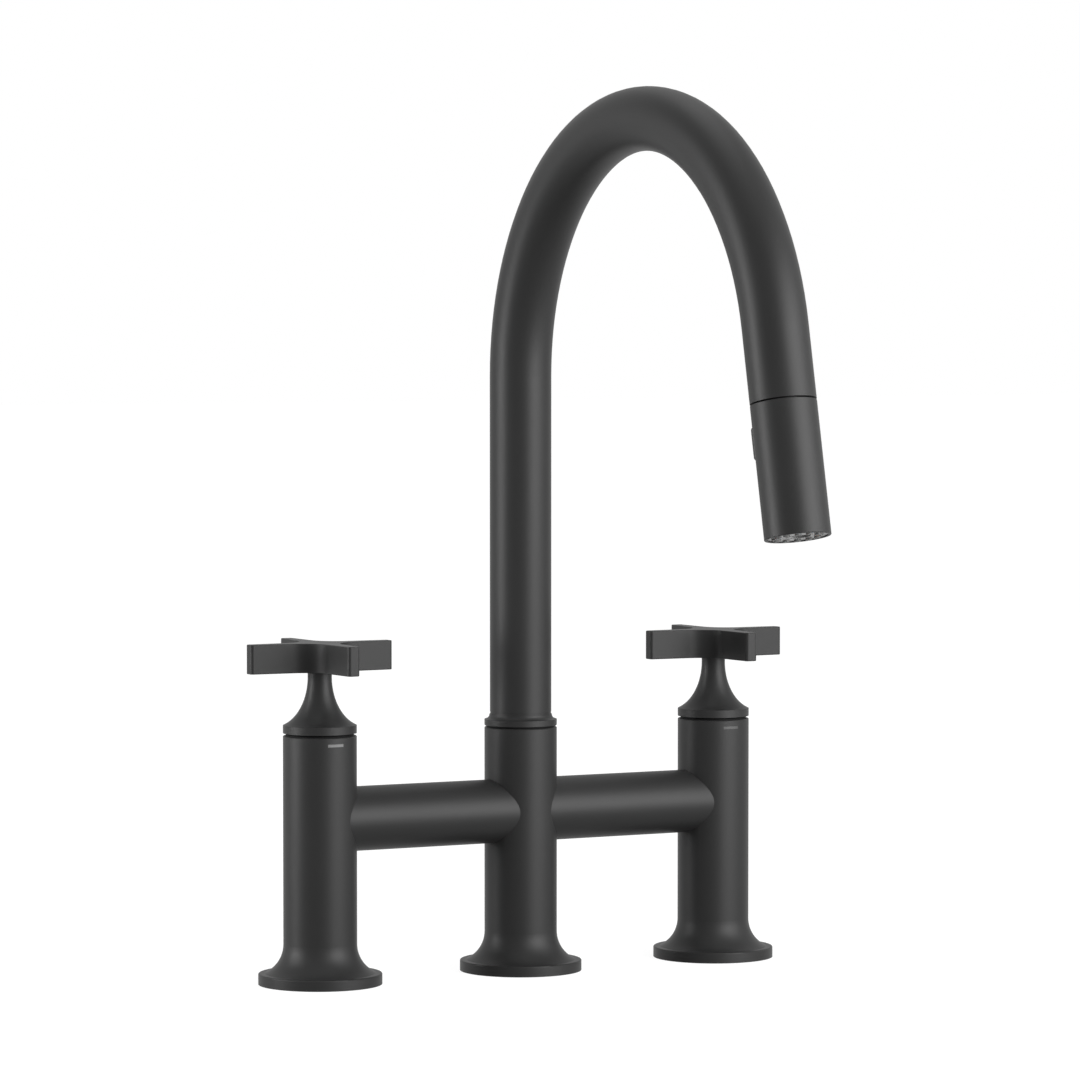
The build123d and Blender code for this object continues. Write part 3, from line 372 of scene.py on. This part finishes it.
def woven_hose(name, turn, shift):
    """Nylon braid over the hose: two crossing families of strands round the hose's axis, with
    painted shade where the strands dip.
    """
    braid = finish(name)
    placed = braid.node(
        "ShaderNodeMapping",
        {"vector_type": "TEXTURE"},
        {"Vector": braid.place(), "Location": shift, "Rotation": (turn, 0, 0)},
    )
    x, y, along = braid.parts(placed)
    bearing = braid.maths("ARCTAN2", y, x) * (STRANDS / math.tau)
    one = bearing + along / STRAND_STEP
    other = bearing - along / STRAND_STEP
    over = ((braid.maths("FLOOR", one) + braid.maths("FLOOR", other)) % 2) > 0.5

    def strand(wave):
        return braid.maths("SINE", (wave % 1) * math.pi)

    height = over * strand(one) + (1 - over) * strand(other)
    yarn = braid.cloud(braid.scaled(placed, (1, 1, 0.4)), 0.00022, 2, 0.6)
    tone = braid.cloud(placed, 0.012, 2)
    weave_height_and_shade = height * 0.8 + yarn * 0.2
    # painted shade: the colour darkens where each strand dips under the next, over the yarn's
    # grain and a slow random tone
    braid.surface(
        Base_Color=braid.between(
            weave_height_and_shade * 0.75 + tone * 0.25, (0.013, 0.013, 0.014, 1), (0.08, 0.08, 0.083, 1)
        ),
        Roughness=0.46 + yarn * 0.18,
        Specular_IOR_Level=0.35,
        Normal=braid.relief(weave_height_and_shade, 0.00022),
    )
    return braid.owner


def mark_enamel(name, low, high):
    """A thin enamel mark, level with the coat round it."""
    enamel = finish(name)
    place = enamel.place()
    speckle = enamel.cloud(place, 0.0003, 3, 0.6)
    enamel.surface(
        Base_Color=enamel.between(speckle, grey(low), grey(high)),
        Roughness=0.42 + speckle * 0.08,
        Specular_IOR_Level=0.3,
        Normal=enamel.relief(speckle, 0.000006),
    )
    return enamel.owner


finishes = {
    "black_finish": satin_black_coat(),
    "brass": turned_brass(),
    "steel": brushed_steel(),
    "black_steel": black_oxide_steel(),
    "rubber": moulded_rubber(),
    "silicone": nozzle_silicone(),
    "black_plastic": moulded_plastic(
        "black_plastic", grey(0.010), grey(0.016), 0.46, 0.000014, 0.2
    ),
    "grey_plastic": moulded_plastic(
        "grey_plastic", grey(0.16), grey(0.22), 0.3, 0.00001, 0.45
    ),
    "white_plastic": moulded_plastic(
        "white_plastic", (0.66, 0.65, 0.61, 1), (0.74, 0.73, 0.7, 1), 0.38, 0.000012, 0.45
    ),
    "ceramic": valve_ceramic(),
    "magnet": nickelled_magnet(),
    "copper": drawn_copper(),
    "hose_braid": woven_hose("hose_braid", 0, (0, 0, 0)),
    "pale_mark": mark_enamel("pale_mark", 0.085, 0.11),
    "dark_mark": mark_enamel("dark_mark", 0.02, 0.028),
}
tail_braid = woven_hose("tail_braid", LEG_TURN, SEAM)
valve_brass = brass_with_gap_shade()

# pieces whose finish differs from the rest of their slot
special = {
    "left_cartridge_housing": valve_brass,
    "right_cartridge_housing": valve_brass,
    # painted shade: the glide ring is made near-black and almost without gloss, so the collar gap
    # shows as shade
    "spout_glide_ring": moulded_plastic(
        "acetal_painted_shade_black", grey(0.003), grey(0.006), 0.62, 0.00001, 0.05
    ),
}

for part in frame["record"]["subparts"]:
    for slot in frame["nodes"][part["node"]].material_slots:
        slot.material = special.get(part["node"], finishes[part["material_slot"]])


# ---------------------------------------------------------------- pieces shaped here
def piece(mesh, name, slot_name, node, material=None):
    """Turns a finished bmesh into a smooth-shaded piece that stands for the named node."""
    bmesh.ops.remove_doubles(mesh, verts=mesh.verts, dist=MERGED)
    bmesh.ops.recalc_face_normals(mesh, faces=mesh.faces)
    data = bpy.data.meshes.new(name)
    mesh.to_mesh(data)
    mesh.free()
    data.shade_smooth()
    data.set_sharp_from_angle(angle=math.radians(32))
    made = bpy.data.objects.new(name, data)
    bpy.context.scene.collection.objects.link(made)
    data.materials.append(material or finishes[slot_name])
    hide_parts(node)
    return made


def outline(mesh, points, close=True):
    """Edges through the points, given as radius and height on the XZ plane."""
    corners = [mesh.verts.new((radius, 0, height)) for radius, height in points]
    ends = corners[1:] + corners[:1] if close else corners[1:]
    return [mesh.edges.new(pair) for pair in zip(corners, ends)]


def lathe(mesh, points, steps):
    """A closed turned ring round the Z axis from a closed outline."""
    edges = outline(mesh, points)
    corners = list({corner for edge in edges for corner in edge.verts})
    bmesh.ops.spin(
        mesh,
        geom=corners + edges,
        cent=(0, 0, 0),
        axis=(0, 0, 1),
        dvec=(0, 0, 0),
        angle=math.tau,
        steps=steps,
        use_merge=True,
    )


def hoop(mesh, radius, height):
    """A circle of edges round the Z axis."""
    made = bmesh.ops.create_circle(
        mesh, segments=48, radius=radius, matrix=Matrix.Translation((0, 0, height))
    )
    return list({edge for corner in made["verts"] for edge in corner.link_edges})


THREAD_STEPS = 40  # faces in one turn of a thread


def thread(mesh, crest, root, pitch, low, high):
    """A right-hand screw thread's skin between two heights; returns its lower and upper rims."""
    before = set(mesh.verts)
    # radius, and share of the pitch at which it is reached
    profile = ((root, 0.0), (crest, 0.42), (crest, 0.56), (root, 0.98), (root, 1.0))
    turns = math.ceil((high - low) / pitch) + 3
    edges = outline(
        mesh, [(radius, low + (share - 2) * pitch) for radius, share in profile], False
    )
    corners = list({corner for edge in edges for corner in edge.verts})
    bmesh.ops.spin(
        mesh,
        geom=corners + edges,
        cent=(0, 0, 0),
        axis=(0, 0, 1),
        dvec=(0, 0, pitch / THREAD_STEPS),
        angle=math.tau * turns,
        steps=THREAD_STEPS * turns,
        use_merge=False,
    )
    skin = [corner for corner in mesh.verts if corner not in before]
    bmesh.ops.remove_doubles(mesh, verts=skin, dist=pitch / 500)
    rims = []
    for height, upward in ((low, -1), (high, 1)):
        skin = [corner for corner in mesh.verts if corner not in before]
        edges = list({edge for corner in skin for edge in corner.link_edges})
        faces = list({face for corner in skin for face in corner.link_faces})
        cut = bmesh.ops.bisect_plane(
            mesh,
            geom=skin + edges + faces,
            dist=MERGED,
            plane_co=(0, 0, height),
            plane_no=(0, 0, upward),
            clear_outer=True,
        )
        rims.append([e for e in cut["geom_cut"] if isinstance(e, bmesh.types.BMEdge)])
    return rims


def threaded_pipe(mesh, crest, root, bore, pitch, low, high, stretches):
    """A pipe with an outside thread on the given stretches and a root-deep relief elsewhere."""
    inside = hoop(mesh, bore, low)
    last = hoop(mesh, root, low)
    bmesh.ops.bridge_loops(mesh, edges=inside + last)
    for start, end in stretches:
        lower, upper = thread(mesh, crest, root, pitch, start, end)
        bmesh.ops.bridge_loops(mesh, edges=last + lower)
        last = upper
        if end < high:
            groove = hoop(mesh, root, end + pitch / 4)
            bmesh.ops.bridge_loops(mesh, edges=last + groove)
            last = groove
    top = hoop(mesh, root, high)
    bmesh.ops.bridge_loops(mesh, edges=last + top)
    inner_top = hoop(mesh, bore, high)
    bmesh.ops.bridge_loops(mesh, edges=top + inner_top)
    bmesh.ops.bridge_loops(mesh, edges=inner_top + inside)


def twin(mesh):
    """Puts one copy of the shape on the hot side and moves the shape itself to the cold side."""
    shape = mesh.verts[:] + mesh.edges[:] + mesh.faces[:]
    copy = bmesh.ops.duplicate(mesh, geom=shape)["geom"]
    other = [part for part in copy if isinstance(part, bmesh.types.BMVert)]
    first = [part for part in shape if isinstance(part, bmesh.types.BMVert)]
    bmesh.ops.translate(mesh, verts=other, vec=(-HALF_PITCH, 0, 0))
    bmesh.ops.translate(mesh, verts=first, vec=(HALF_PITCH, 0, 0))


def lock_nut(mesh, flats, bore, low, high):
    """A hexagon nut with coned corners and a broken bore edge."""
    corner = flats / math.sqrt(3)
    cone = flats / 2 * 0.97
    drop = (corner - cone) * math.tan(math.radians(30))
    edge = 0.0005
    lathe(
        mesh,
        (
            (bore, low + edge),
            (bore + edge, low),
            (cone, low),
            (corner, low + drop),
            (corner, high - drop),
            (cone, high),
            (bore + edge, high),
            (bore, high - edge),
        ),
        72,
    )
    for side in range(6):
        bearing = math.radians(30 + 60 * side)
        flat = Vector((math.cos(bearing), math.sin(bearing), 0))
        cut = bmesh.ops.bisect_plane(
            mesh,
            geom=mesh.verts[:] + mesh.edges[:] + mesh.faces[:],
            dist=MERGED,
            plane_co=flat * flats / 2,
            plane_no=flat,
            clear_outer=True,
        )
        rim = [part for part in cut["geom_cut"] if isinstance(part, bmesh.types.BMEdge)]
        bmesh.ops.edgeloop_fill(mesh, edges=rim)


SHANK_END = -0.06
THREAD_START = -0.0594
THREAD_END = -0.0006
NUT_LOW = -0.032
NUT_HIGH = -0.024

mesh = bmesh.new()
threaded_pipe(
    mesh,
    crest=0.010478,
    root=0.00932,
    bore=0.007,
    pitch=0.001814,
    low=SHANK_END,
    high=0.0178,
    stretches=((THREAD_START, -0.0362), (-0.0338, THREAD_END)),
)
twin(mesh)
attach(piece(mesh, "threaded_supply_shanks", "brass", "supply_shanks"), "base")

mesh = bmesh.new()
threaded_pipe(
    mesh,
    crest=0.016,
    root=0.01508,
    bore=0.0138,
    pitch=0.0015,
    low=SHANK_END,
    high=0.0108,
    stretches=((THREAD_START, THREAD_END),),
)
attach(piece(mesh, "threaded_centre_shank", "brass", "centre_shank"), "base")

mesh = bmesh.new()
lock_nut(mesh, flats=0.030, bore=0.010528, low=NUT_LOW, high=NUT_HIGH)
twin(mesh)
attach(piece(mesh, "supply_nuts", "brass", "supply_lock_nut"), "base")

mesh = bmesh.new()
lock_nut(mesh, flats=0.042, bore=0.01605, low=NUT_LOW, high=NUT_HIGH)
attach(piece(mesh, "centre_nut", "brass", "centre_lock_nut"), "base")


def along_leg(height):
    """The turn and shift from an upright piece to the spout's leg, that far above the seam."""
    turn = Matrix.Rotation(LEG_TURN, 4, "X")
    return Matrix.Translation(SEAM - LEG_WAY * height) @ turn


HOSE_BORE = 0.0033
HOSE_RADIUS = 0.005
TAIL_START = 0.0322
TAIL_END = 0.0122
TAIL_LENGTH = TAIL_START - TAIL_END
mesh = bmesh.new()
lathe(
    mesh,
    ((HOSE_BORE, 0), (HOSE_RADIUS, 0), (HOSE_RADIUS, TAIL_LENGTH), (HOSE_BORE, TAIL_LENGTH)),
    40,
)
lengthways = [
    edge for edge in mesh.edges if abs(edge.verts[0].co.z - edge.verts[1].co.z) > TAIL_LENGTH / 2
]
bmesh.ops.subdivide_edges(mesh, edges=lengthways, cuts=63)
bmesh.ops.transform(mesh, matrix=along_leg(TAIL_START), verts=mesh.verts)
tail = piece(mesh, "pull_out_hose", "hose_braid", "hose_tail", material=tail_braid)
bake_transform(tail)

COIL_WIRE = 0.00025
COIL_RADIUS = 0.00295
COIL_START = 0.001798
COIL_LENGTH = 0.0051
COIL_TURNS = 5
COIL_STEPS = 32  # faces in one turn of the coil
mesh = bmesh.new()
wire = bmesh.ops.create_circle(
    mesh,
    segments=10,
    radius=COIL_WIRE,
    matrix=Matrix.Translation((COIL_RADIUS, 0, 0)) @ Matrix.Rotation(math.pi / 2, 4, "X"),
)["verts"]
rim = list({edge for corner in wire for edge in corner.link_edges})
bmesh.ops.spin(
    mesh,
    geom=wire + rim,
    cent=(0, 0, 0),
    axis=(0, 0, 1),
    dvec=(0, 0, COIL_LENGTH / COIL_TURNS / COIL_STEPS),
    angle=math.tau * COIL_TURNS,
    steps=COIL_STEPS * COIL_TURNS,
    use_merge=False,
)
bmesh.ops.holes_fill(mesh, edges=[edge for edge in mesh.edges if edge.is_boundary])
coil_seat = SEAM + LEG_WAY * 0.01675
outward = BUTTON_WAY.to_track_quat("Z", "Y").to_matrix().to_4x4()
bmesh.ops.transform(
    mesh,
    matrix=Matrix.Translation(coil_seat + BUTTON_WAY * COIL_START) @ outward,
    verts=mesh.verts,
)
coil = piece(mesh, "button_coil", "steel", "button_spring")
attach(coil, "spray_head")
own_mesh(coil)


# ---------------------------------------------------------------- floor, light and camera
def shown_rays(tree):
    """1 for the rays that the camera sees, straight on or in metal and glass, else 0."""
    path = tree.node("ShaderNodeLightPath").socket.node
    straight, glossy, clear = [
        Signal(tree, path.outputs[f"Is {ray} Ray"]) for ray in ("Camera", "Glossy", "Transmission")
    ]
    return tree.maths("MINIMUM", straight + glossy + clear, 1)


def pale_floor():
    """A floor with a faint shadow near the faucet, white beyond it and clear from below."""
    floor = finish("pale_floor")
    seen = shown_rays(floor)
    away = floor.node(
        "ShaderNodeVectorMath", {"operation": "LENGTH"}, {0: floor.place()}, "Value"
    )
    bleach = floor.node(
        "ShaderNodeMapRange",
        {"interpolation_type": "SMOOTHSTEP"},
        {"Value": away, "From Min": 0.25, "From Max": 1.0, "To Min": 0.9, "To Max": 1.0},
    )
    matt = floor.node("ShaderNodeBsdfDiffuse", sockets={"Color": grey(0.16)})
    glow = floor.node(
        "ShaderNodeEmission", sockets={"Color": grey(1), "Strength": seen * bleach}
    )
    lit = floor.node("ShaderNodeAddShader", sockets={0: matt, 1: glow})
    clear = floor.node("ShaderNodeBsdfTransparent")
    below = floor.node("ShaderNodeNewGeometry", output="Backfacing")
    floor.shown(floor.node("ShaderNodeMixShader", sockets={0: below, 1: lit, 2: clear}))
    return floor.owner


FLOOR_DROP = 0.0002  # keeps the floor clear of the feet
mesh = bmesh.new()
bmesh.ops.create_grid(
    mesh, x_segments=1, y_segments=1, size=12, matrix=Matrix.Translation((0, 0, -FLOOR_DROP))
)
floor_data = bpy.data.meshes.new("floor")
mesh.to_mesh(floor_data)
mesh.free()
floor_data.materials.append(pale_floor())
floor = bpy.data.objects.new("floor", floor_data)
bpy.context.scene.collection.objects.link(floor)

world = bpy.data.worlds.new("studio")
bpy.context.scene.world = world
studio = Finish(world)
FILL = 0.12  # strength of the white surroundings as a light
backdrop = shown_rays(studio) * (1 - FILL) + FILL
studio.shown(
    studio.node("ShaderNodeBackground", sockets={"Color": grey(1), "Strength": backdrop})
)

LIT_POINT = Vector((0, -0.06, 0.19))
LAMP_REACH = 1.4


def softbox(name, bearing, rise, width, height, power):
    """An area lamp on that bearing and rise in degrees, turned to face the faucet."""
    lamp = bpy.data.lights.new(name, "AREA")
    lamp.shape = "RECTANGLE"
    lamp.size = width
    lamp.size_y = height
    lamp.energy = power
    box = bpy.data.objects.new(name, lamp)
    across = math.cos(math.radians(rise))
    toward = Vector(
        (
            across * math.cos(math.radians(bearing)),
            across * math.sin(math.radians(bearing)),
            math.sin(math.radians(rise)),
        )
    )
    box.location = LIT_POINT + toward * LAMP_REACH
    box.rotation_euler = toward.to_track_quat("Z", "Y").to_euler()
    box.visible_camera = False
    bpy.context.scene.collection.objects.link(box)


softbox("key_front", -78, 9, 0.45, 1.3, 22)
softbox("key_middle", -58, 9, 0.45, 1.3, 23)
softbox("key_side", -38, 9, 0.45, 1.3, 9)
softbox("key_low", -62, 2, 1.0, 0.35, 5)
softbox("left_strip", 162, 9, 0.45, 1.3, 22)
softbox("left_low", 162, 2, 0.5, 0.35, 8)
softbox("rear_box", 62, 68, 0.7, 0.7, 2)
softbox("top_box", -118, 89, 0.9, 0.9, 4)

CAMERA_DIP = 2.66397  # degrees down from level
CAMERA_BEARING = -28.43416  # degrees from looking along +Y
lens = bpy.data.cameras.new("camera")
lens.lens = 169.672
lens.sensor_width = 36
lens.clip_start = 0.1
lens.clip_end = 60
camera = bpy.data.objects.new("camera", lens)
camera.location = (-1.09291, -2.03694, 0.30377)
camera.rotation_euler = (math.radians(90 - CAMERA_DIP), 0, math.radians(CAMERA_BEARING))
bpy.context.scene.collection.objects.link(camera)
bpy.context.scene.camera = camera
bpy.context.scene.view_settings.view_transform = "Standard"
